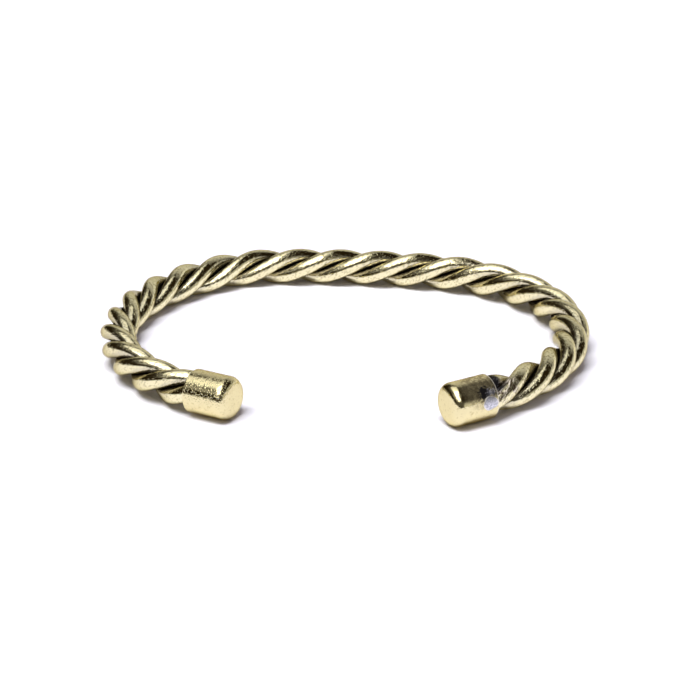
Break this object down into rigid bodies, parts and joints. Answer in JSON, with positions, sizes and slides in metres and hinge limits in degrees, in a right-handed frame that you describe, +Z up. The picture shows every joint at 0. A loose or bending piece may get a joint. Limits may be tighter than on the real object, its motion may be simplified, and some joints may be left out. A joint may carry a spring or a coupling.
{
  "type": "open twisted wire cuff bracelet",
  "caption": "Open oval cuff bracelet of polished brass wires twisted into a rope, with a round closed cap on each end; springs open to go over the wrist.",
  "frame": {"origin": "on the surface that the cuff lies on, under the middle of the whole cuff", "axes": "+Z up, -Y towards the gap between the caps, X across the cuff's longer width"},
  "size_m": [0.0672, 0.057, 0.0059],
  "materials": {
    "wire_brass": "polished, darkened between the wires",
    "cap_brass": "polished, with heat stains and a grey spot of solder on the right cap"
  },
  "bodies": {
    "root": {"strand_1": "wire_brass", "strand_2": "wire_brass", "strand_3": "wire_brass", "end_cap_left": "cap_brass", "end_cap_right": "cap_brass"}
  },
  "joints": []
}
